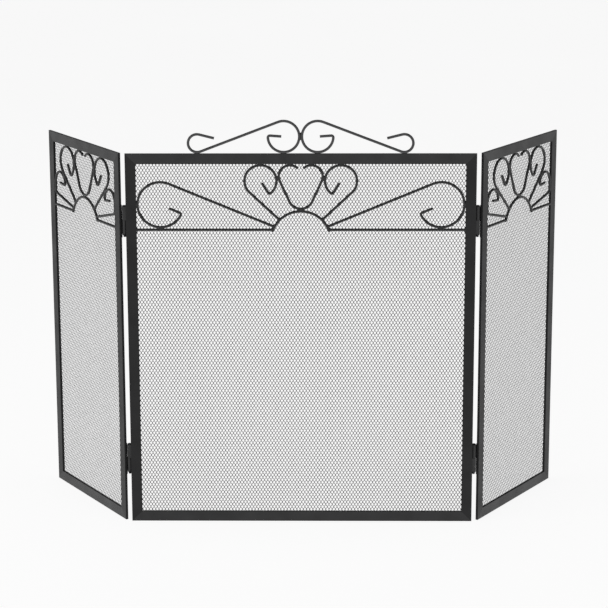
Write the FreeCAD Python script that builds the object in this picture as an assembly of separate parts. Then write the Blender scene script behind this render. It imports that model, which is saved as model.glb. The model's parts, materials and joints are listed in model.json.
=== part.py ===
import FreeCAD, Part
import math
import os

# Three-panel folding fireplace screen. Millimetres, +Z up, -Y is the front.
# Each panel is a welded frame of mitred flat bar, with round-rod scrollwork in
# its opening and mesh behind it. Two wings fold on pairs of small hinges.
# The origin is on the floor, at the middle of the screen's width and depth
# with the wings at their standing angle.

# Panels
panel_height = 580.0
centre_width = 528.0
wing_width = 244.0
fold_at_rest = 58.0  # degrees that each wing stands back from flat
bar_width = 16.0
bar_depth = 4.0
bar_edge_radius = 0.5  # rounded long edges of the rolled flat bar
mesh_thickness = 0.5
mesh_lap = 5.0  # how far the mesh lies over the back of each bar

# Scrollwork in the openings
rod_diameter = 4.0
crossbar_drop = 100.8  # crossbar's centreline below the opening's top edge
arch_half_width = 42.0
arch_rise = 28.3
tulip_loop_radius = 17.0
tulip_loop_offset = 16.0  # loop centres from the panel's middle
tulip_foot_radius = 19.0
tulip_end_angle = 46.0  # where the tulip's ends stop, above level on each loop
heart_to_wing_stile = 19.5  # clear gap beside a wing's heart scrolls
heart_root_angle = 45.0  # where a heart's tail meets the arch, from upright
heart_hook_angle = 58.0  # hook's direction from the loop's centre, below level
large_loop_radius = 34.5
large_hook_angle = 23.0
tail_root_angle = 61.5  # where the outer tails meet the arch, from upright
side_loop_drop = 63.3  # side loop's centre below the opening's top edge
side_hook_angle = 6.0
side_corner_rise = 20.0  # side scroll's lower corner above the crossbar
side_corner_radius = 6.0
hook_length = 17.0  # straight end of a scroll, past its sharp bend
hook_bend_radius = 3.0

# Crest on the centre panel's top rail
crest_loop_radius = 23.5
crest_hook_angle = 4.0  # above level
crest_end_radius = 13.5
crest_end_offset = 155.0  # end loop's centre from the panel's middle
crest_end_angle = 76.0
crest_end_straight = 23.0

# Hinges
hinge_length = 50.0
hinge_below_top = 80.0  # upper hinge's top end below the panel's top
hinge_above_floor = 74.0  # lower hinge's bottom end above the floor
edge_to_axis = 2.5  # from a panel's edge to the hinge axis, both panels
leaf_thickness = 1.25
leaf_corner_radius = 2.0
leaf_to_mesh_gap = 0.5
leaf_notch_gap = 0.8
knuckle_gap = 0.3
pin_diameter = 4.4
pin_running_clearance = 0.05  # on the radius, in the turning knuckle
pin_head_height = 1.5
pin_head_overhang = 1.0
pin_collar_height = 1.4
pin_collar_overhang = 1.1
pin_tip_length = 3.1
pin_tip_inset = 1.0

# Worked out from the sizes above
rod_radius = rod_diameter / 2
opening_top = panel_height - bar_width
crossbar_z = opening_top - crossbar_drop
arch_radius = (arch_half_width**2 + arch_rise**2) / (2 * arch_rise)
arch_centre_z = crossbar_z + arch_rise - arch_radius
tulip_z = opening_top - rod_radius - tulip_loop_radius
# Tulip and heart loops touch the top rail and each other, so their centres are
# sqrt(side_share + radius_share * heart_radius) apart from side to side. The one
# size of heart used in every panel is what fills the room in a wing.
side_share = rod_diameter**2 + 2 * rod_diameter * tulip_loop_radius
radius_share = 4 * tulip_loop_radius + 2 * rod_diameter
heart_room = (
    wing_width / 2 - bar_width - heart_to_wing_stile - rod_radius - tulip_loop_offset
)
heart_radius = (
    heart_room
    + radius_share / 2
    - math.sqrt(radius_share * heart_room + radius_share**2 / 4 + side_share)
)
heart_x = tulip_loop_offset + math.sqrt(side_share + radius_share * heart_radius)
heart_z = opening_top - rod_radius - heart_radius
pin_radius = pin_diameter / 2
bore_radius = pin_radius + pin_running_clearance
knuckle_radius = bore_radius + leaf_thickness
# A leaf lies on its bar's back, so the axis is a knuckle's radius behind it.
axis_behind_back = knuckle_radius
leaf_reach = edge_to_axis + bar_width - mesh_lap - leaf_to_mesh_gap
axis_x = centre_width / 2 + edge_to_axis

fold = math.radians(fold_at_rest)
wing_back = (
    axis_behind_back
    + (edge_to_axis + wing_width) * math.sin(fold)
    - axis_behind_back * math.cos(fold)
    - bar_edge_radius * (math.sin(fold) + math.cos(fold) - 1)
)
middle_depth = (wing_back - bar_depth) / 2  # behind the centre panel's back face

UP = FreeCAD.Vector(0, 0, 1)


def point(x, z):
    """A point on the scrollwork's mid-plane, which touches the mesh's front."""
    return FreeCAD.Vector(x, -rod_radius, z)


def on_circle(centre, radius, degrees):
    """The point of a circle at an angle from +X towards +Z."""
    angle = math.radians(degrees)
    return point(centre[0] + radius * math.cos(angle), centre[1] + radius * math.sin(angle))


def line(start, end):
    return Part.LineSegment(start, end).toShape()


def arc(centre, radius, start, end):
    """An arc from one angle to another, anticlockwise where end is larger."""
    ends = [on_circle(centre, radius, a) for a in (start, (start + end) / 2, end)]
    return Part.Arc(*ends).toShape()


def direction(start, end):
    """The distance and the angle in degrees from one (x, z) place to another."""
    across, up = end[0] - start[0], end[1] - start[1]
    return math.hypot(across, up), math.degrees(math.atan2(up, across))


def arrival(centre, radius, start, turn):
    """Angle where a line from start joins a circle, to go on round it.
    turn is 1 for anticlockwise and -1 for clockwise."""
    distance, bearing = direction(centre, start)
    return bearing + turn * math.degrees(math.acos(radius / distance))


def hook(centre, radius, turn, degrees, straight):
    """A scroll's end: a sharp bend off the loop, then straight towards its centre.
    Gives the loop angle where the bend starts, and the bend's and straight's edges."""
    inner = radius - hook_bend_radius
    lead = math.degrees(math.asin(hook_bend_radius / inner))
    leaves = degrees - turn * lead
    bend_centre = on_circle(centre, inner, leaves)
    bend_middle = (bend_centre.x, bend_centre.z)
    bend = arc(bend_middle, hook_bend_radius, leaves, degrees + turn * 90)
    foot = inner * math.cos(math.radians(lead))
    straight_edge = line(
        on_circle(centre, foot, degrees), on_circle(centre, foot - straight, degrees)
    )
    return leaves, [bend, straight_edge]


def rod(edges):
    """Round rod along a path of straight runs and tangent arcs."""
    path = Part.Wire(edges)
    start = path.OrderedVertexes[0].Point
    heading = path.OrderedEdges[0].tangentAt(path.OrderedEdges[0].FirstParameter)
    section = Part.Wire(Part.makeCircle(rod_radius, start, heading))
    return path.makePipeShell([section], True, False)


def mirrored(shape):
    return shape.mirror(FreeCAD.Vector(0, 0, 0), FreeCAD.Vector(1, 0, 0))


def coped(shape, *others):
    """A rod's end cut to sit on the rods that it is welded to."""
    for other in others:
        shape = shape.cut(other)
    return max(shape.Solids, key=lambda solid: solid.Volume)


def flat_bar(corners, start, end):
    """One frame bar: rounded flat bar from start to end, cut to its mitred outline."""
    outline = Part.makePolygon([FreeCAD.Vector(x, 0, z) for x, z in corners + corners[:1]])
    blank = Part.Face(outline).extrude(FreeCAD.Vector(0, -bar_depth, 0))
    box = blank.BoundBox
    bar = Part.makeBox(
        box.XLength, bar_depth, box.ZLength, FreeCAD.Vector(box.XMin, -bar_depth, box.ZMin)
    )
    along = FreeCAD.Vector(end[0] - start[0], 0, end[1] - start[1]).normalize()
    long_edges = [e for e in bar.Edges if abs(e.tangentAt(e.FirstParameter).dot(along)) > 0.9]
    return bar.makeFillet(bar_edge_radius, long_edges).common(blank).Solids[0]


def frame(width):
    """The four mitred bars of a panel, by place: x from the middle, z from the floor."""
    half, inner = width / 2, width / 2 - bar_width
    top, bottom = opening_top, bar_width
    left = [(-half, 0), (-half, panel_height), (-inner, top), (-inner, bottom)]
    lower = [(-half, 0), (half, 0), (inner, bottom), (-inner, bottom)]
    upper = [(-half, panel_height), (half, panel_height), (inner, top), (-inner, top)]
    left_stile = flat_bar(left, (0, 0), (0, 1))
    return {
        "left_stile": left_stile,
        "right_stile": mirrored(left_stile),
        "bottom_rail": flat_bar(lower, (0, 0), (1, 0)),
        "top_rail": flat_bar(upper, (0, 0), (1, 0)),
    }


def mesh(width):
    """The sheet of expanded metal, which laps onto the backs of all four bars."""
    edge = bar_width - mesh_lap
    return Part.makeBox(
        width - 2 * edge,
        mesh_thickness,
        panel_height - 2 * edge,
        FreeCAD.Vector(-width / 2 + edge, 0, edge),
    )


def arch():
    """The half-round rod that the scrolls spring from, down to the crossbars' undersides."""
    foot = math.degrees(
        math.acos((crossbar_z - rod_radius - arch_centre_z) / arch_radius)
    )
    return rod([arc((0, arch_centre_z), arch_radius, 90 + foot, 90 - foot)])


def arch_point(degrees):
    """A place on the right of the arch's centreline, at an angle from upright."""
    place = on_circle((0, arch_centre_z), arch_radius, 90 - degrees)
    return place.x, place.z


def tulip():
    """One rod: two loops under the top rail, joined by a round foot on the arch."""
    foot = (0, crossbar_z + arch_rise + rod_diameter + tulip_foot_radius)
    left, right = (-tulip_loop_offset, tulip_z), (tulip_loop_offset, tulip_z)
    distance, bearing = direction(left, foot)
    side = bearing - math.degrees(
        math.acos((tulip_loop_radius - tulip_foot_radius) / distance)
    )
    side %= 360
    far_side = 540 - side
    return rod(
        [
            arc(left, tulip_loop_radius, tulip_end_angle, side),
            line(on_circle(left, tulip_loop_radius, side), on_circle(foot, tulip_foot_radius, side)),
            arc(foot, tulip_foot_radius, side, far_side),
            line(
                on_circle(foot, tulip_foot_radius, far_side),
                on_circle(right, tulip_loop_radius, far_side),
            ),
            arc(right, tulip_loop_radius, far_side, 540 - tulip_end_angle),
        ]
    )


def tailed_scroll(root, centre, radius, turn, hook_degrees):
    """A straight tail from root that runs round a loop and ends in a hook."""
    joins = arrival(centre, radius, root, turn)
    leaves, end = hook(centre, radius, turn, hook_degrees, hook_length)
    while turn * (leaves - joins) < 0:
        joins -= turn * 360
    edges = [line(point(*root), on_circle(centre, radius, joins))]
    return rod(edges + [arc(centre, radius, joins, leaves)] + end)


def heart_scroll(arch_solid):
    """The right-hand loop beside the tulip, with its tail welded to the arch."""
    scroll = tailed_scroll(
        arch_point(heart_root_angle), (heart_x, heart_z), heart_radius, 1, 180 + heart_hook_angle
    )
    return coped(scroll, arch_solid)


def large_scroll(half_opening, arch_solid):
    """The centre panel's right-hand scroll, whose loop touches stile and crossbar."""
    centre = (
        half_opening - rod_radius - large_loop_radius,
        crossbar_z + rod_diameter + large_loop_radius,
    )
    scroll = tailed_scroll(
        arch_point(tail_root_angle), centre, large_loop_radius, -1, large_hook_angle - 180
    )
    return coped(scroll, arch_solid)


def side_loop(half_opening):
    """Centre and radius of a wing's right-hand side loop, which touches the stile and
    the heart scroll beside it: the heart's tail, or its loop where the tail is lower."""
    stile_line = half_opening - rod_radius
    centre_z = opening_top - side_loop_drop
    across, down = stile_line - heart_x, centre_z - heart_z
    reach = heart_radius + rod_diameter
    tail = arrival((heart_x, heart_z), heart_radius, arch_point(heart_root_angle), 1)
    normal = (math.cos(math.radians(tail)), math.sin(math.radians(tail)))
    radius = (across * normal[0] + down * normal[1] - reach) / (1 + normal[0])
    along_tail = (across - radius) * normal[1] - down * normal[0]
    if along_tail < 0:
        radius = (across**2 + down**2 - reach**2) / (2 * (across + reach))
    return (stile_line - radius, centre_z), radius


def side_scroll(half_opening, arch_solid):
    """A wing's right-hand scroll, from the arch up the stile and round its loop."""
    stile_line = half_opening - rod_radius
    centre, radius = side_loop(half_opening)
    root = arch_point(tail_root_angle)
    corner = (stile_line, crossbar_z + side_corner_rise)
    slope = direction(root, corner)[1]
    # The rounded corner between the sloping tail and the upright beside the stile
    setback = side_corner_radius * math.tan(math.radians(90 - slope) / 2)
    bend_centre = (stile_line - side_corner_radius, corner[1] + setback)
    hook_straight = math.sqrt((radius - hook_bend_radius) ** 2 - hook_bend_radius**2)
    leaves, end = hook(centre, radius, 1, 180 + side_hook_angle, hook_straight)
    scroll = rod(
        [
            line(point(*root), on_circle(bend_centre, side_corner_radius, slope - 90)),
            arc(bend_centre, side_corner_radius, slope - 90, 0),
            line(on_circle(bend_centre, side_corner_radius, 0), on_circle(centre, radius, 0)),
            arc(centre, radius, 0, leaves),
        ]
        + end
    )
    return coped(scroll, arch_solid)


def crossbar(half_opening, arch_solid):
    """The right-hand straight rod, from the arch's foot to the stile."""
    bar = rod([line(point(arch_half_width, crossbar_z), point(half_opening, crossbar_z))])
    return coped(bar, arch_solid)


def crest_scroll():
    """The right-hand scroll on the top rail: a large loop, a straight and an open end loop."""
    loop = (crest_loop_radius + rod_radius, panel_height + rod_radius + crest_loop_radius)
    end = (crest_end_offset, panel_height + rod_radius + crest_end_radius)
    distance, bearing = direction(end, loop)
    crossing = math.degrees(math.acos((crest_loop_radius + crest_end_radius) / distance))
    leaves_end = bearing + crossing - 360
    joins_loop = bearing + crossing - 180
    tip_angle = 180 - crest_end_angle
    tip_start = on_circle(end, crest_end_radius, tip_angle)
    slope = math.radians(tip_angle + 90)
    tip = tip_start + FreeCAD.Vector(math.cos(slope), 0, math.sin(slope)) * crest_end_straight
    leaves_loop, hook_edges = hook(loop, crest_loop_radius, 1, 360 + crest_hook_angle, hook_length)
    return rod(
        [
            line(tip, tip_start),
            arc(end, crest_end_radius, tip_angle, leaves_end),
            line(
                on_circle(end, crest_end_radius, leaves_end),
                on_circle(loop, crest_loop_radius, joins_loop),
            ),
            arc(loop, crest_loop_radius, joins_loop, leaves_loop),
        ]
        + hook_edges
    )


def leaf(sign, upper, turning):
    """A hinge leaf about its own axis at x = 0, y = 0, from z = 0 up, its plate
    towards sign * X. The plate's front lies on the bar's back face."""
    first, second = knuckle_spans()
    low, high = second if upper else first
    other_low, other_high = first if upper else second
    bore = bore_radius if turning else pin_radius
    plate = Part.makeBox(
        leaf_reach,
        leaf_thickness,
        hinge_length,
        FreeCAD.Vector(0, -knuckle_radius, 0),
    )
    far_edges = [
        e
        for e in plate.Edges
        if e.CenterOfMass.x > leaf_reach - 0.01 and abs(e.tangentAt(e.FirstParameter).y) > 0.9
    ]
    plate = plate.makeFillet(leaf_corner_radius, far_edges)
    # The strip beside the axis is left only where this leaf's own knuckle is
    half_chord = math.sqrt(2 * knuckle_radius * leaf_thickness - leaf_thickness**2)
    notch = half_chord + leaf_notch_gap
    depth = 2 * leaf_thickness
    for start, stop in ((-1, low), (high, hinge_length + 1)):
        corner = FreeCAD.Vector(-1, -knuckle_radius - leaf_thickness / 2, start)
        plate = plate.cut(Part.makeBox(notch + 1, depth, stop - start, corner))
    base = FreeCAD.Vector(0, 0, low)
    barrel = Part.makeCylinder(knuckle_radius, high - low, base, UP)
    solid = plate.fuse(barrel).cut(Part.makeCylinder(bore, high - low, base, UP))
    solid = solid.removeSplitter().Solids[0]
    return solid if sign > 0 else mirrored(solid)


def knuckle_spans():
    """The lower and the upper knuckle's start and end above the hinge's bottom end."""
    bottom = pin_tip_inset + pin_tip_length + pin_collar_height + knuckle_gap
    top = hinge_length - pin_head_height - knuckle_gap
    middle = (bottom + top) / 2
    return (bottom, middle - knuckle_gap / 2), (middle + knuckle_gap / 2, top)


def pin():
    """The hinge pin: rounded tip, collar under the knuckles and a domed head above them."""
    collar_z = pin_tip_inset + pin_tip_length
    head_z = hinge_length - pin_head_height
    head_radius = pin_radius + pin_head_overhang
    collar_radius = pin_radius + pin_collar_overhang
    shaft = Part.makeCylinder(
        pin_radius, head_z - pin_tip_inset, FreeCAD.Vector(0, 0, pin_tip_inset), UP
    )
    tip_edge = [e for e in shaft.Edges if e.BoundBox.ZMax < pin_tip_inset + 0.01]
    shaft = shaft.makeFillet(pin_radius / 2, tip_edge)
    collar = Part.makeCylinder(collar_radius, pin_collar_height, FreeCAD.Vector(0, 0, collar_z), UP)
    head = Part.makeCylinder(head_radius, pin_head_height, FreeCAD.Vector(0, 0, head_z), UP)
    rim = [e for e in head.Edges if e.BoundBox.ZMin > head_z + pin_head_height - 0.01]
    head = head.makeFillet(pin_head_height * 0.8, rim)
    return shaft.fuse([collar, head]).removeSplitter().Solids[0]


def scrollwork(half_opening):
    """What every panel's opening holds: arch, tulip, two hearts and two crossbars."""
    arch_solid = arch()
    heart = heart_scroll(arch_solid)
    bar = crossbar(half_opening, arch_solid)
    return {
        "arch": arch_solid,
        "tulip": tulip(),
        "right_heart_scroll": heart,
        "left_heart_scroll": mirrored(heart),
        "right_crossbar": bar,
        "left_crossbar": mirrored(bar),
    }


def centre_panel():
    half_opening = centre_width / 2 - bar_width
    pieces = frame(centre_width)
    pieces["mesh"] = mesh(centre_width)
    pieces.update(scrollwork(half_opening))
    scroll = large_scroll(half_opening, pieces["arch"])
    pieces["right_large_scroll"] = scroll
    pieces["left_large_scroll"] = mirrored(scroll)
    crest = crest_scroll()
    pieces["right_crest_scroll"] = crest
    pieces["left_crest_scroll"] = mirrored(crest)
    return {"centre_" + name: shape for name, shape in pieces.items()}


def wing_panel(side):
    """A wing, its middle at x = 0, its pieces named by which side is nearer the hinge."""
    half_opening = wing_width / 2 - bar_width
    pieces = frame(wing_width)
    pieces["mesh"] = mesh(wing_width)
    pieces.update(scrollwork(half_opening))
    scroll = side_scroll(half_opening, pieces["arch"])
    pieces["right_side_scroll"] = scroll
    pieces["left_side_scroll"] = mirrored(scroll)
    inner, outer = ("left", "right") if side == "right" else ("right", "left")
    named = {}
    for name, shape in pieces.items():
        name = name.replace(inner + "_", "inner_").replace(outer + "_", "outer_")
        named[side + "_wing_" + name] = shape
    return named


def place_wing(shape, sign):
    """Sets a wing beside its hinge axis, then folds it back to its standing angle."""
    shape = shape.copy()
    beside = sign * (axis_x + edge_to_axis + wing_width / 2)
    shape.translate(FreeCAD.Vector(beside, 0, 0))
    return folded(shape, sign)


def folded(shape, sign):
    axis = FreeCAD.Vector(sign * axis_x, axis_behind_back, 0)
    shape.rotate(axis, UP, sign * fold_at_rest)
    return shape


def hinge(sign, side, level, bottom):
    """A hinge's two leaves and pin. The leaf on the right carries the upper knuckle."""
    on_right = sign < 0  # the centre panel is to the right of the left-hand hinges
    centre_leaf = leaf(-sign, on_right, False)
    wing_leaf = leaf(sign, not on_right, True)
    stem = pin()
    for shape in (centre_leaf, wing_leaf, stem):
        shape.translate(FreeCAD.Vector(sign * axis_x, axis_behind_back, bottom))
    name = level + "_" + side + "_hinge_"
    return {
        name + "centre_leaf": centre_leaf,
        name + "wing_leaf": folded(wing_leaf, sign),
        name + "pin": stem,
    }


def screen():
    pieces = centre_panel()
    for side, sign in (("left", -1), ("right", 1)):
        for name, shape in wing_panel(side).items():
            pieces[name] = place_wing(shape, sign)
        pieces.update(hinge(sign, side, "lower", hinge_above_floor))
        upper_bottom = panel_height - hinge_below_top - hinge_length
        pieces.update(hinge(sign, side, "upper", upper_bottom))
    return pieces


os.makedirs("parts", exist_ok=True)
for name, shape in screen().items():
    shape = shape.copy()
    shape.translate(FreeCAD.Vector(0, -middle_depth, 0))
    shape.exportStep("parts/" + name + ".step")
print("hinge axes at x = +-%.3f, y = %.3f" % (axis_x, axis_behind_back - middle_depth))
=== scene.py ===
import json
import math
import random

import bpy
from mathutils import Matrix, Vector, noise
from mathutils.bvhtree import BVHTree

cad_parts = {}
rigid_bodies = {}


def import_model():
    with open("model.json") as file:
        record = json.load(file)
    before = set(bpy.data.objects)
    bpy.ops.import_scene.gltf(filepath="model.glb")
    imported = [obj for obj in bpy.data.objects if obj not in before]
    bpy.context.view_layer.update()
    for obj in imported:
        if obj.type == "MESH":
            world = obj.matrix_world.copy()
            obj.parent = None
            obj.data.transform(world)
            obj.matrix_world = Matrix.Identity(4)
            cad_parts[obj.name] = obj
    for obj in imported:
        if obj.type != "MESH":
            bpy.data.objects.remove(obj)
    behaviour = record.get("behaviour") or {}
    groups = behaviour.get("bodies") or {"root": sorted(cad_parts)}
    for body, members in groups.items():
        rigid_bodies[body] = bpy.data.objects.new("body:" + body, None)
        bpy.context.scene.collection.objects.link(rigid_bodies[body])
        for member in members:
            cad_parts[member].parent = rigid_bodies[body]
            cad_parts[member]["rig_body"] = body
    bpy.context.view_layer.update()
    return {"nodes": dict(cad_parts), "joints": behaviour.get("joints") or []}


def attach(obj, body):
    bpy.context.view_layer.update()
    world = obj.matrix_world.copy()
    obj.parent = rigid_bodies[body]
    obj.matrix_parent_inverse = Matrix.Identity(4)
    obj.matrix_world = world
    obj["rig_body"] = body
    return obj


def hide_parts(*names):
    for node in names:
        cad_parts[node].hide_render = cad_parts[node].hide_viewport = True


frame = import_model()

# A three-panel folding fireplace screen in black powder coat. The flat bars, bent
# rods and hinges are the frame's own parts and get their finishes here. The mesh
# sheets, the weld beads and the spot welds are made here. Metres; the named sizes
# below are millimetres, and mm() turns them to metres.

nodes = frame["nodes"]

# Expanded steel mesh: staggered rows of upright diamonds. Four strands meet in a
# bond, which is two strands wide and longer than it is wide.
DIAMOND_WIDTH = 5.0
DIAMOND_HEIGHT = 8.0
BOND_WIDTH = 1.1
BOND_SIDE = 1.1  # length of a bond's straight sides
BOND_LENGTH = 2.3  # from tip to tip
STRAND_THICKNESS = 0.15
STRAND_TILT = 0.03  # how far a bond's sides stand fore and aft after flattening
SHEET_OFF_BAR = 0.05  # paint between the mesh and the bars
BONDS_PER_PIECE = 5200  # the centre sheet is made in strips of at most this many

# Welds: each bead's length along its joint, width across it and depth, front to back
TOUCH = 0.15  # two parts closer than this are touching
WELD_SPACING = 6.0  # touching places further apart than this get beads of their own
SHORT_BEAD = (8.0, 3.8, 3.9)
LONG_BEAD = (13.0, 4.2, 4.0)
END_BEAD = (6.4, 5.2, 4.3)  # round a rod's end on another rod or a bar
MITRE_BEAD = (12.0, 2.4, 0.9)
LEAF_BEAD = (6.5, 2.2, 1.9)
SPOT_BEAD = (3.8, 3.4, 1.3)  # a squeezed nugget that holds the mesh to a bar
SPOT_PITCH = 46.0
SPOT_INSET = 0.2  # a spot's place over a bar, in from the mesh's edge, as a share of the bare bar
BEAD_RINGS, BEAD_SIDES = 15, 12
BEAD_SPREAD = 0.1  # how much one bead's size differs from the next
RIPPLE_PITCH = 1.3  # between the ripples that a bead's droplets leave
RIPPLE_SHARE = 0.05  # of a bead's width
LUMP_SHARE = 0.16


def mm(*sizes):
    """Millimetres as metres: one number, or a vector of three."""
    if len(sizes) == 1:
        return sizes[0] / 1000
    return Vector(sizes) / 1000


# ---------------------------------------------------------------- finishes


def linear(colour):
    """The linear colour of an sRGB hex value such as #1C1C1D."""
    parts = [int(colour[i : i + 2], 16) / 255 for i in (1, 3, 5)]
    return [p / 12.92 if p <= 0.04045 else ((p + 0.055) / 1.055) ** 2.4 for p in parts] + [1.0]


def repeats(size):
    """A texture's scale that makes its features this many millimetres across."""
    return 1000 / size


def add(tree, kind, links=None, **settings):
    """Adds a node with its settings; links gives each input's value, or the socket or
    node that it comes from."""
    added = tree.nodes.new("ShaderNode" + kind)
    for name, value in settings.items():
        setattr(added, name, value)
    for socket, source in (links or {}).items():
        if isinstance(socket, str):
            target = next(s for s in added.inputs if s.enabled and s.name == socket)
        else:
            target = added.inputs[socket]
        if isinstance(source, bpy.types.Node):
            source = next(s for s in source.outputs if s.enabled)
        if isinstance(source, bpy.types.NodeSocket):
            tree.links.new(source, target)
        else:
            target.default_value = source
    return added


def new_finish(name):
    """An empty node material and the tree's place coordinates on the object."""
    material = bpy.data.materials.new(name)
    material.use_nodes = True
    material.node_tree.nodes.clear()
    place = add(material.node_tree, "TexCoord").outputs["Object"]
    return material, material.node_tree, place


# Soft noise mostly stays in this middle band, which is spread to the wanted range
MIDDLE = {"From Min": 0.35, "From Max": 0.65}


def powder_coated_bar(name, grain, colours, sheen):
    """Powder-coated hot-rolled flat bar. The baked powder flows out in a faint orange
    peel and leaves the bar's rolling grain showing as long soft streaks, so its satin
    gloss breaks up along each bar. It is a little greyer where the coat is thin. The
    rails' copy is painted greyer than the stiles': a painted highlight for the light
    from above that catches along their grain.
    The grain is the streaks' size along X, Y and Z."""
    material, tree, place = new_finish(name)
    along = add(tree, "Mapping", {"Vector": place, "Scale": [repeats(size) for size in grain]})
    streaks = add(tree, "TexNoise", {"Vector": along, "Scale": 1.0, "Detail": 3.0})
    peel = add(tree, "TexNoise", {"Vector": place, "Scale": repeats(1.6), "Detail": 1.0})
    cloud = add(tree, "TexNoise", {"Vector": place, "Scale": repeats(34), "Detail": 3.0})
    grained = add(tree, "Bump", {"Height": streaks, "Distance": mm(0.012), "Strength": 1.0})
    relief = {"Height": peel, "Distance": mm(0.012), "Strength": 1.0, "Normal": grained}
    thinness = add(tree, "MapRange", {"Value": cloud, **MIDDLE})
    thick, thin = map(linear, colours)
    coat = {
        "Base Color": add(tree, "Mix", {"Factor": thinness, "A": thick, "B": thin}, data_type="RGBA"),
        "Roughness": add(tree, "MapRange", {"Value": cloud, **MIDDLE, "To Min": 0.44, "To Max": 0.36}),
        "Specular IOR Level": sheen,
        "Normal": add(tree, "Bump", relief),
    }
    add(tree, "OutputMaterial", {"Surface": add(tree, "BsdfPrincipled", coat)})
    return material


def powder_coated_rod(name, colours):
    """The same coat on drawn round rod, cold bent: smoother than on the bars, because
    drawn rod has no scale. The crest's copy is painted a paler grey than the rods below
    it: a painted highlight for the light the free-standing crest catches from above and behind."""
    material, tree, place = new_finish(name)
    cloud = add(tree, "TexNoise", {"Vector": place, "Scale": repeats(22), "Detail": 3.0})
    peel = add(tree, "TexNoise", {"Vector": place, "Scale": repeats(1.1), "Detail": 1.0})
    thinness = add(tree, "MapRange", {"Value": cloud, **MIDDLE})
    thick, thin = map(linear, colours)
    coat = {
        "Base Color": add(tree, "Mix", {"Factor": thinness, "A": thick, "B": thin}, data_type="RGBA"),
        "Roughness": add(tree, "MapRange", {"Value": cloud, **MIDDLE, "To Min": 0.42, "To Max": 0.34}),
        "Normal": add(tree, "Bump", {"Height": peel, "Distance": mm(0.010), "Strength": 1.0}),
    }
    add(tree, "OutputMaterial", {"Surface": add(tree, "BsdfPrincipled", coat)})
    return material


def painted_expanded_steel():
    """Sheared and flattened sheet steel with black heat-proof paint: dull, with a fine
    grit in the coat."""
    material, tree, place = new_finish("painted_expanded_steel")
    cloud = add(tree, "TexNoise", {"Vector": place, "Scale": repeats(40), "Detail": 2.0})
    grit = add(tree, "TexNoise", {"Vector": place, "Scale": repeats(0.35), "Detail": 1.0})
    paint = {
        "Base Color": linear("#222223"),
        "Roughness": add(tree, "MapRange", {"Value": cloud, **MIDDLE, "To Min": 0.58, "To Max": 0.46}),
        "Normal": add(tree, "Bump", {"Height": grit, "Distance": mm(0.01), "Strength": 1.0}),
    }
    add(tree, "OutputMaterial", {"Surface": add(tree, "BsdfPrincipled", paint)})
    return material


def painted_hinge_steel():
    """Pressed steel hinge leaf, rolled round its pin and painted after welding: the
    paint is smoother and glossier than the powder, with the press's fine drag lines."""
    material, tree, place = new_finish("painted_pressed_steel_hinge")
    scale = [repeats(size) for size in (0.5, 0.5, 12)]
    pressed = add(tree, "Mapping", {"Vector": place, "Scale": scale})
    drag = add(tree, "TexNoise", {"Vector": pressed, "Scale": 1.0, "Detail": 2.0})
    cloud = add(tree, "TexNoise", {"Vector": place, "Scale": repeats(9), "Detail": 3.0})
    thinness = {"Factor": add(tree, "MapRange", {"Value": cloud, **MIDDLE})}
    shades = {"A": linear("#161617"), "B": linear("#1E1E1F")}
    paint = {
        "Base Color": add(tree, "Mix", {**thinness, **shades}, data_type="RGBA"),
        "Roughness": add(tree, "MapRange", {"Value": cloud, **MIDDLE, "To Min": 0.40, "To Max": 0.30}),
        "Normal": add(tree, "Bump", {"Height": drag, "Distance": mm(0.008), "Strength": 1.0}),
    }
    add(tree, "OutputMaterial", {"Surface": add(tree, "BsdfPrincipled", paint)})
    return material


def blackened_pin_steel():
    """Turned steel pin, chemically blackened: metal that shows dark grey, with turning
    rings round it and bright rubbed patches where the knuckles run."""
    material, tree, place = new_finish("blackened_turned_pin")
    scale = [repeats(size) for size in (8, 8, 0.35)]
    turned = add(tree, "Mapping", {"Vector": place, "Scale": scale})
    rings = add(tree, "TexNoise", {"Vector": turned, "Scale": 1.0, "Detail": 1.0})
    rub = add(tree, "TexNoise", {"Vector": place, "Scale": repeats(2.5), "Detail": 3.0})
    rubbed = {"Factor": add(tree, "MapRange", {"Value": rub, "From Min": 0.55, "From Max": 0.75})}
    shades = {"A": linear("#2A2A2C"), "B": linear("#5A5A5C")}
    steel = {
        "Base Color": add(tree, "Mix", {**rubbed, **shades}, data_type="RGBA"),
        "Metallic": 1.0,
        "Roughness": add(tree, "MapRange", {"Value": rub, **MIDDLE, "To Min": 0.42, "To Max": 0.30}),
        "Normal": add(tree, "Bump", {"Height": rings, "Distance": mm(0.01), "Strength": 1.0}),
    }
    add(tree, "OutputMaterial", {"Surface": add(tree, "BsdfPrincipled", steel)})
    return material


def powder_coated_weld():
    """Weld metal under the coat: finely rippled, so the gloss is broken, with patches
    where the powder lies thicker."""
    material, tree, place = new_finish("powder_coated_weld")
    grains = {"Vector": place, "Scale": repeats(0.8), "Detail": 3.0, "Roughness": 0.6}
    ripple = add(tree, "TexNoise", grains)
    cloud = add(tree, "TexNoise", {"Vector": place, "Scale": repeats(3.5), "Detail": 2.0})
    thickness = {"Factor": add(tree, "MapRange", {"Value": cloud, **MIDDLE})}
    shades = {"A": linear("#161617"), "B": linear("#202021")}
    coat = {
        "Base Color": add(tree, "Mix", {**thickness, **shades}, data_type="RGBA"),
        "Roughness": add(tree, "MapRange", {"Value": cloud, **MIDDLE, "To Min": 0.52, "To Max": 0.40}),
        "Normal": add(tree, "Bump", {"Height": ripple, "Distance": mm(0.05), "Strength": 1.0}),
    }
    add(tree, "OutputMaterial", {"Surface": add(tree, "BsdfPrincipled", coat)})
    return material


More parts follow.
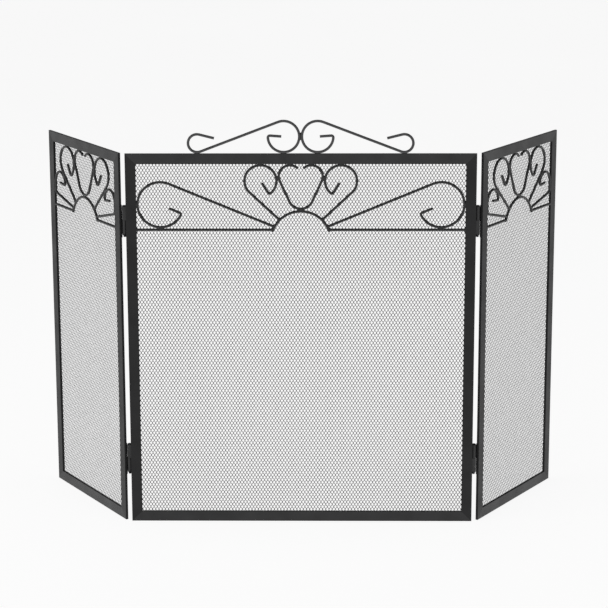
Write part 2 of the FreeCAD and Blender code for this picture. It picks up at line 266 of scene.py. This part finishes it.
def lit_acrylic_floor():
    """A matt white acrylic shooting table, lit from below: pale, with soft shadows."""
    material, tree, place = new_finish("lit_white_acrylic")
    cloud = add(tree, "TexNoise", {"Vector": place, "Scale": repeats(900), "Detail": 1.0})
    acrylic = {
        "Base Color": linear("#808080"),
        "Roughness": add(tree, "MapRange", {"Value": cloud, **MIDDLE, "To Min": 0.75, "To Max": 0.65}),
        "Emission Color": linear("#FFFFFF"),
        "Emission Strength": 0.885,
    }
    add(tree, "OutputMaterial", {"Surface": add(tree, "BsdfPrincipled", acrylic)})
    return material


# The rail copy's paler greys are a painted highlight for the light from above along the rails' grain;
# the stiles keep the plain coat.
RAIL_PAINTED_HIGHLIGHT_FINISH = powder_coated_bar(
    "powder_coated_flat_bar_rail_painted_highlight", (60, 60, 0.9), ("#202021", "#29292A"), sheen=0.37
)
STILE_FINISH = powder_coated_bar(
    "powder_coated_flat_bar_stile", (0.9, 0.9, 60), ("#161617", "#1C1C1D"), sheen=0.28
)
ROD_FINISH = powder_coated_rod("powder_coated_bent_rod", ("#171718", "#1D1D1E"))
# The crest copy's paler greys are a painted highlight for the light the free-standing crest catches
# from above and behind.
CREST_PAINTED_HIGHLIGHT_FINISH = powder_coated_rod("powder_coated_crest_rod_painted_highlight", ("#3A3A3B", "#444445"))
MESH_FINISH = painted_expanded_steel()
HINGE_FINISH = painted_hinge_steel()
PIN_FINISH = blackened_pin_steel()
WELD_FINISH = powder_coated_weld()


def finish_of(name):
    """The finish of a part of the frame, by its name."""
    if name.endswith("rail"):
        return RAIL_PAINTED_HIGHLIGHT_FINISH
    if name.endswith("stile"):
        return STILE_FINISH
    if name.endswith("mesh"):
        return MESH_FINISH
    if name.endswith("pin"):
        return PIN_FINISH
    if name.endswith("leaf"):
        return HINGE_FINISH
    if name.endswith("crest_scroll"):
        return CREST_PAINTED_HIGHLIGHT_FINISH
    return ROD_FINISH


for name, part in nodes.items():
    part.data.materials.clear()
    part.data.materials.append(finish_of(name))

# ---------------------------------------------------------------- panels


def unfolding(side):
    """The matrix that turns a wing flat, in line with the centre panel. A wing's fold
    ends a half turn from flat, on the centre panel's back."""
    if side == "centre":
        return Matrix.Identity(4)
    joint = next(j for j in frame["joints"] if j["name"] == side + "_wing_fold")
    from_flat = math.radians(180 - joint["range_deg"][1])
    axis = Matrix.Translation(Vector(joint["pos_m"]))
    turn = Matrix.Rotation(-from_flat, 4, Vector(joint["axis"]))
    return axis @ turn @ axis.inverted()


class Panel:
    """One panel: its body, its parts by short name, and the way to turn it flat."""

    def __init__(self, side):
        self.side = side
        self.prefix = "centre_" if side == "centre" else side + "_wing_"
        self.body = "centre_panel" if side == "centre" else side + "_wing"
        self.flat = unfolding(side)
        self.parts = {n[len(self.prefix) :]: o for n, o in nodes.items() if n.startswith(self.prefix)}

    def corners(self, short):
        """A part's lowest and highest corner with the panel turned flat."""
        places = [self.flat @ v.co for v in self.parts[short].data.vertices]
        low = Vector(map(min, zip(*places)))
        high = Vector(map(max, zip(*places)))
        return low, high

    def add_piece(self, short, vertices, faces, finish, slot, replaced=()):
        """A new piece made in the flat panel, set in place on the panel's body."""
        mesh = bpy.data.meshes.new(self.prefix + short)
        mesh.from_pydata(vertices, [], faces)
        mesh.transform(self.flat.inverted())
        mesh.materials.append(finish)
        mesh.update()
        piece = bpy.data.objects.new(self.prefix + short, mesh)
        bpy.context.scene.collection.objects.link(piece)
        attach(piece, self.body)
        if replaced:
            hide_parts(*replaced)
        return piece


panels = [Panel(side) for side in ("centre", "left", "right")]

# ---------------------------------------------------------------- mesh sheets

# A bond's corners, anticlockwise from the front, and where each one is
CORNERS = LEFT_TOP, LEFT_FOOT, FOOT, RIGHT_FOOT, RIGHT_TOP, HEAD = range(6)
CORNER_PLACES = {
    LEFT_TOP: (-BOND_WIDTH / 2, BOND_SIDE / 2),
    LEFT_FOOT: (-BOND_WIDTH / 2, -BOND_SIDE / 2),
    FOOT: (0, -BOND_LENGTH / 2),
    RIGHT_FOOT: (BOND_WIDTH / 2, -BOND_SIDE / 2),
    RIGHT_TOP: (BOND_WIDTH / 2, BOND_SIDE / 2),
    HEAD: (0, BOND_LENGTH / 2),
}
# Each sloping side of a bond: the way to the next bond, and that bond's two corners
STRANDS = {
    (RIGHT_TOP, HEAD): ((1, 1), (FOOT, LEFT_FOOT)),
    (HEAD, LEFT_TOP): ((-1, 1), (RIGHT_FOOT, FOOT)),
    (LEFT_FOOT, FOOT): ((-1, -1), (HEAD, RIGHT_TOP)),
    (FOOT, RIGHT_FOOT): ((1, -1), (LEFT_TOP, HEAD)),
}


def expanded_metal(low, high):
    """The bonds of a sheet between two corners, as a list of (half column, row), and
    the first one's place. Even rows start at the edge, odd ones half a diamond in."""
    columns = int((high.x - low.x - mm(BOND_WIDTH)) / mm(DIAMOND_WIDTH))
    rows = int((high.z - low.z - mm(BOND_LENGTH)) / mm(DIAMOND_HEIGHT / 2))
    bonds = [
        (2 * column + row % 2, row)
        for row in range(rows + 1)
        for column in range(columns + 1 - row % 2)
    ]
    start_x = (low.x + high.x - columns * mm(DIAMOND_WIDTH)) / 2
    start_z = (low.z + high.z - rows * mm(DIAMOND_HEIGHT / 2)) / 2
    return bonds, Vector((start_x, low.y + mm(SHEET_OFF_BAR), start_z))


def sheet_strip(start, bonds, sheet):
    """Closed geometry of some of a sheet's bonds and of the strands that rise from them.
    A strand that crosses the strip's right edge belongs to it, whether it rises or falls,
    and one that crosses the left edge belongs to the next strip."""
    vertices, faces, found = [], [], {}
    own = set(bonds)

    def corner(bond, which):
        """The front vertex of a bond's corner; its back vertex is the next one."""
        key = (bond, which)
        if key not in found:
            across, up = CORNER_PLACES[which]
            forward = -STRAND_TILT * across / (BOND_WIDTH / 2)
            place = start + mm(
                bond[0] * DIAMOND_WIDTH / 2 + across,
                STRAND_TILT + forward,
                bond[1] * DIAMOND_HEIGHT / 2 + up,
            )
            found[key] = len(vertices)
            vertices.extend((place, place + mm(0, STRAND_THICKNESS, 0)))
        return found[key]

    def wall(first, second):
        """The side wall below the front edge that runs from first to second."""
        faces.append((second, first, first + 1, second + 1))

    for bond in bonds:
        outline = [corner(bond, which) for which in CORNERS]
        faces.append(outline)
        faces.append([v + 1 for v in reversed(outline)])
        wall(outline[LEFT_TOP], outline[LEFT_FOOT])
        wall(outline[RIGHT_FOOT], outline[RIGHT_TOP])
        for (first, second), ((across, up), far) in STRANDS.items():
            beyond = (bond[0] + across, bond[1] + up)
            ends = outline[first], outline[second]
            if beyond not in sheet:
                wall(*ends)
                continue
            if beyond in own and up < 0:
                continue
            if beyond not in own and across < 0:
                wall(*ends)
                continue
            near, away = (corner(beyond, which) for which in far)
            strand = (ends[0], near, away, ends[1])
            faces.append(strand)
            faces.append([v + 1 for v in reversed(strand)])
            wall(ends[0], near)
            wall(away, ends[1])
            if beyond not in own:
                wall(near, away)
    return vertices, faces


def add_mesh_sheet(panel):
    """The panel's mesh, in upright strips side by side where one would be too heavy."""
    bonds, start = expanded_metal(*panel.corners("mesh"))
    sheet = set(bonds)
    strips = math.ceil(len(bonds) / BONDS_PER_PIECE) if panel.side == "centre" else 1
    widest = max(half_column for half_column, _ in bonds) + 1
    for i in range(strips):
        first, last = (round(widest * n / strips) for n in (i, i + 1))
        own = [bond for bond in bonds if first <= bond[0] < last]
        short = "mesh_sheet" if strips == 1 else "mesh_sheet_%d" % (i + 1)
        vertices, faces = sheet_strip(start, own, sheet)
        panel.add_piece(short, vertices, faces, MESH_FINISH, "mesh", [panel.prefix + "mesh"])


for panel in panels:
    add_mesh_sheet(panel)

# ---------------------------------------------------------------- welds


RIGHTWARD, BACKWARD, UPWARD = Matrix.Identity(3)


def flat_shape(panel, name):
    """A part's corners and faces with its panel turned flat."""
    mesh = nodes[name].data
    return [panel.flat @ v.co for v in mesh.vertices], [tuple(f.vertices) for f in mesh.polygons]


def touching_places(panel, first, second):
    """Where two parts of a panel touch, each with the way across the joint there."""
    points, _ = flat_shape(panel, panel.prefix + first)
    surface = BVHTree.FromPolygons(*flat_shape(panel, panel.prefix + second))
    groups = []
    for point in points:
        place, normal, _, _ = surface.find_nearest(point, mm(TOUCH))
        if place is None:
            continue
        for group in groups:
            if (group[0][0] - place).length < mm(WELD_SPACING):
                group.append((place, normal))
                break
        else:
            groups.append([(place, normal)])
    return [
        (
            sum((place for place, _ in group), Vector()) / len(group),
            sum((normal for _, normal in group), Vector()).normalized(),
        )
        for group in groups
    ]


class Beads:
    """Weld beads that are gathered into one piece."""

    def __init__(self, seed):
        self.vertices, self.faces = [], []
        self.chance = random.Random(seed)

    def lay(self, place, along, across, size):
        """One closed, lumpy bead with ripples along it."""
        smallest, largest = 1 - BEAD_SPREAD, 1 + BEAD_SPREAD
        length, width, depth = (mm(s) * self.chance.uniform(smallest, largest) for s in size)
        along = along.normalized()
        across = (across - along * across.dot(along)).normalized()
        out = along.cross(across)
        first = len(self.vertices)
        drift = Vector(self.chance.uniform(-50, 50) for _ in range(3))
        for ring in range(BEAD_RINGS):
            t = -math.cos(math.pi * (ring + 0.5) / BEAD_RINGS)
            ripple = 1 + RIPPLE_SHARE * math.sin(math.tau * t * length / 2 / mm(RIPPLE_PITCH))
            swell = math.sqrt(1 - t * t) * ripple
            for side in range(BEAD_SIDES):
                angle = math.tau * side / BEAD_SIDES
                there = Vector((t, math.cos(angle), math.sin(angle)))
                lump = 1 + LUMP_SHARE * noise.noise(drift + there)
                sideways = across * (there.y * width) + out * (there.z * depth)
                self.vertices.append(place + along * (t * length / 2) + sideways * (swell * lump / 2))
        for ring in range(BEAD_RINGS - 1):
            for side in range(BEAD_SIDES):
                a = first + ring * BEAD_SIDES + side
                b = first + ring * BEAD_SIDES + (side + 1) % BEAD_SIDES
                self.faces.append((a, b, b + BEAD_SIDES, a + BEAD_SIDES))
        last = first + (BEAD_RINGS - 1) * BEAD_SIDES
        self.faces.append([first + side for side in reversed(range(BEAD_SIDES))])
        self.faces.append([last + side for side in range(BEAD_SIDES)])

    def join(self, panel, first, second, size):
        """Beads at every place where two parts of a panel touch."""
        for place, across in touching_places(panel, first, second):
            self.lay(place, across.cross(BACKWARD), across, size)

    def finish(self, panel, short, slot):
        """Makes the gathered beads into a piece of the panel."""
        piece = panel.add_piece(short, self.vertices, self.faces, WELD_FINISH, slot)
        piece.data.polygons.foreach_set("use_smooth", [True] * len(piece.data.polygons))


def add_scroll_welds(panel):
    """Beads that join the scrollwork in a panel's opening to itself and to the frame."""
    beads = Beads("scroll " + panel.side)
    beads.join(panel, "tulip", "top_rail", SHORT_BEAD)
    beads.join(panel, "tulip", "arch", LONG_BEAD)
    outer_scroll = "large_scroll" if panel.side == "centre" else "side_scroll"
    for hand in ("left_", "right_") if panel.side == "centre" else ("inner_", "outer_"):
        heart, outer, bar = hand + "heart_scroll", hand + outer_scroll, hand + "crossbar"
        beads.join(panel, heart, "top_rail", SHORT_BEAD)
        beads.join(panel, heart, "tulip", SHORT_BEAD)
        beads.join(panel, heart, "arch", END_BEAD)
        beads.join(panel, outer, "arch", END_BEAD)
        beads.join(panel, outer, hand + "stile", SHORT_BEAD)
        beads.join(panel, outer, bar if panel.side == "centre" else heart, SHORT_BEAD)
        beads.join(panel, bar, "arch", END_BEAD)
        beads.join(panel, bar, hand + "stile", END_BEAD)
    beads.finish(panel, "scroll_welds", "scrollwork")


def add_crest_welds(panel):
    """Beads between the two crest scrolls, and under each of their four loops."""
    beads = Beads("crest")
    beads.join(panel, "left_crest_scroll", "right_crest_scroll", LONG_BEAD)
    for hand in ("left_", "right_"):
        beads.join(panel, hand + "crest_scroll", "top_rail", SHORT_BEAD)
    beads.finish(panel, "crest_welds", "scrollwork")


def panel_faces(panel):
    """A flat panel's outer corners on its back face, and the mesh's edges there."""
    low, _ = panel.corners("bottom_rail")
    _, high = panel.corners("top_rail")
    mesh_low, mesh_high = panel.corners("mesh")
    return Vector((low.x, high.y, low.z)), high, mesh_low, mesh_high


def add_mitre_welds(panel):
    """Ground-down seams across the back of the frame's four mitred corners."""
    beads = Beads("mitre " + panel.side)
    low, high, mesh_low, mesh_high = panel_faces(panel)
    for x, inward_x, inner_x in ((low.x, 1, mesh_low.x), (high.x, -1, mesh_high.x)):
        for z, inward_z, inner_z in ((low.z, 1, mesh_low.z), (high.z, -1, mesh_high.z)):
            place = Vector(((x + inner_x) / 2, high.y, (z + inner_z) / 2))
            along = Vector((inward_x, 0, inward_z))
            beads.lay(place, along, along.cross(BACKWARD), MITRE_BEAD)
    beads.finish(panel, "mitre_welds", "frame")


def add_spot_welds(panel):
    """Squeezed spot welds that hold the mesh's edges to the backs of the bars."""
    beads = Beads("spot " + panel.side)
    _, high, mesh_low, mesh_high = panel_faces(panel)
    inner = (mesh_low.x - panel.corners("bottom_rail")[0].x) * SPOT_INSET
    low_x, high_x = mesh_low.x + inner, mesh_high.x - inner
    low_z, high_z = mesh_low.z + inner, mesh_high.z - inner
    across, up = (round(size / mm(SPOT_PITCH)) for size in (high_x - low_x, high_z - low_z))
    places = [
        (low_x + (high_x - low_x) * i / across, z) for i in range(across + 1) for z in (low_z, high_z)
    ]
    places += [(x, low_z + (high_z - low_z) * i / up) for i in range(1, up) for x in (low_x, high_x)]
    for x, z in places:
        beads.lay(Vector((x, high.y, z)), RIGHTWARD, UPWARD, SPOT_BEAD)
    beads.finish(panel, "mesh_spot_welds", "frame")


def add_hinge_welds(panel):
    """Beads along the upper and lower edge of each hinge leaf on this panel."""
    beads = Beads("hinge " + panel.side)
    leaf_end = "centre_leaf" if panel.side == "centre" else "wing_leaf"
    _, high, _, _ = panel_faces(panel)
    for name in sorted(nodes):
        if not name.endswith(leaf_end) or nodes[name]["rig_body"] != panel.body:
            continue
        points, _ = flat_shape(panel, name)
        on_bar = [p for p in points if p.y < high.y + mm(0.1)]
        middle = (min(p.x for p in on_bar) + max(p.x for p in on_bar)) / 2
        for z in (min(p.z for p in on_bar), max(p.z for p in on_bar)):
            beads.lay(Vector((middle, high.y, z)), RIGHTWARD, UPWARD, LEAF_BEAD)
    beads.finish(panel, "hinge_welds", "hinge")


for panel in panels:
    add_scroll_welds(panel)
    add_mitre_welds(panel)
    add_spot_welds(panel)
    add_hinge_welds(panel)
add_crest_welds(panels[0])

# ---------------------------------------------------------------- stage and lights


def add_floor():
    """A round white floor, wide enough to fill every view."""
    sides, radius = 96, 16
    ring = [(math.cos(a), math.sin(a)) for a in (math.tau * i / sides for i in range(sides))]
    mesh = bpy.data.meshes.new("floor")
    mesh.from_pydata([(radius * x, radius * y, 0) for x, y in ring], [], [list(range(sides))])
    mesh.materials.append(lit_acrylic_floor())
    floor = bpy.data.objects.new("floor", mesh)
    bpy.context.scene.collection.objects.link(floor)


def add_softbox(name, place, size, power):
    """A square softbox that faces the screen's middle."""
    light = bpy.data.lights.new(name, "AREA")
    light.shape = "SQUARE"
    light.size = size
    light.energy = power
    box = bpy.data.objects.new(name, light)
    box.location = place
    middle = Vector((0, 0, 0.3))
    box.rotation_euler = (middle - Vector(place)).to_track_quat("-Z", "Y").to_euler()
    bpy.context.scene.collection.objects.link(box)


def add_studio_walls(low, high, far_share):
    """White light from all round: bright round the floor's edge and dimmer overhead.
    The walls behind and on the right give only a share of the light."""
    world = bpy.data.worlds.new("studio")
    world.use_nodes = True
    tree = world.node_tree
    tree.nodes.clear()
    way = add(tree, "TexCoord").outputs["Generated"]
    up = add(tree, "SeparateXYZ", {"Vector": way}).outputs["Z"]
    rise = {"From Min": 0.02, "From Max": 0.4, "To Min": low, "To Max": high}
    glow = add(tree, "MapRange", {"Value": up, **rise})
    front_left = (-0.6, -0.8, 0)
    nearness = add(tree, "VectorMath", {0: way, 1: front_left}, operation="DOT_PRODUCT")
    swing = {"From Min": -0.3, "From Max": 0.7, "To Min": far_share, "To Max": 1}
    share = add(tree, "MapRange", {"Value": nearness, **swing})
    strength = add(tree, "Math", {0: glow, 1: share}, operation="MULTIPLY")
    walls = add(tree, "Background", {"Color": linear("#FFFFFF"), "Strength": strength})
    add(tree, "OutputWorld", {"Surface": walls})
    bpy.context.scene.world = world


add_floor()
add_studio_walls(low=0.93, high=0.22, far_share=0.45)
add_softbox("softbox_overhead", (0.0, -0.6, 3.2), size=2.4, power=18)
add_softbox("softbox_left", (-3.0, -1.2, 1.8), size=1.8, power=9)
add_softbox("softbox_right", (3.0, -1.2, 1.8), size=1.8, power=3)

# ---------------------------------------------------------------- camera

CAMERA_PLACE = Vector((0.0473, -3.4468, 1.1810))
CAMERA_DIP = 14.0  # degrees below level
CAMERA_TURN = 0.735  # degrees to the left of straight ahead
CAMERA_ROLL = -0.152  # degrees
LENS = 134.05  # millimetres

camera = bpy.data.objects.new("camera", bpy.data.cameras.new("camera"))
camera.data.lens = LENS
camera.data.clip_end = 100
turn = Matrix.Rotation(math.radians(CAMERA_TURN), 4, "Z")
dip = Matrix.Rotation(math.radians(90 - CAMERA_DIP), 4, "X")
roll = Matrix.Rotation(math.radians(CAMERA_ROLL), 4, "Z")
camera.matrix_world = Matrix.Translation(CAMERA_PLACE) @ turn @ dip @ roll
bpy.context.scene.collection.objects.link(camera)
bpy.context.scene.camera = camera
bpy.context.scene.view_settings.view_transform = "Standard"

bpy.context.view_layer.update()
